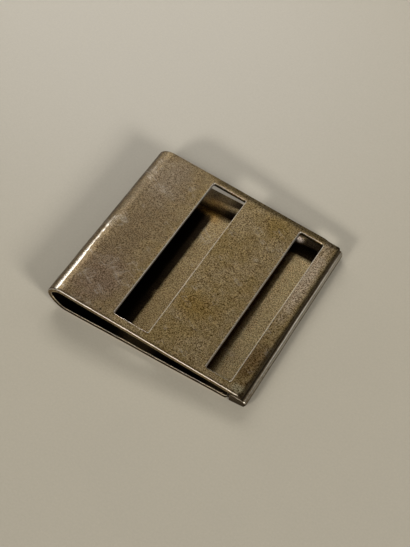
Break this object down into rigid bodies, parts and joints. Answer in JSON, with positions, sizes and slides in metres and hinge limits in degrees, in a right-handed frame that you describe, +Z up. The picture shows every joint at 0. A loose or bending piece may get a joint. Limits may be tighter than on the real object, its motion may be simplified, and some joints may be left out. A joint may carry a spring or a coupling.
{
  "type": "matchbook sleeve",
  "caption": "Flat wedge-shaped silver sleeve for a paper matchbook, open at both ends, with unequal windows in its top panel and a solid bar in its thin end.",
  "frame": {"origin": "centre of the box at the underside, which rests on the table", "axes": "+X from the folded thick end to the bar at the thin end, +Y from the front opening to the back opening, +Z up"},
  "size_m": [0.055, 0.053, 0.0069],
  "materials": {
    "tarnished_silver": "satin silver with brown tarnish, bright where the edges are rubbed",
    "silver_solder": "dark oxidised silver solder"
  },
  "bodies": {
    "root": {"folded_sleeve": "tarnished_silver", "thin_end_bar": "tarnished_silver", "upper_solder_seam": "silver_solder", "lower_solder_seam": "silver_solder"}
  },
  "joints": []
}
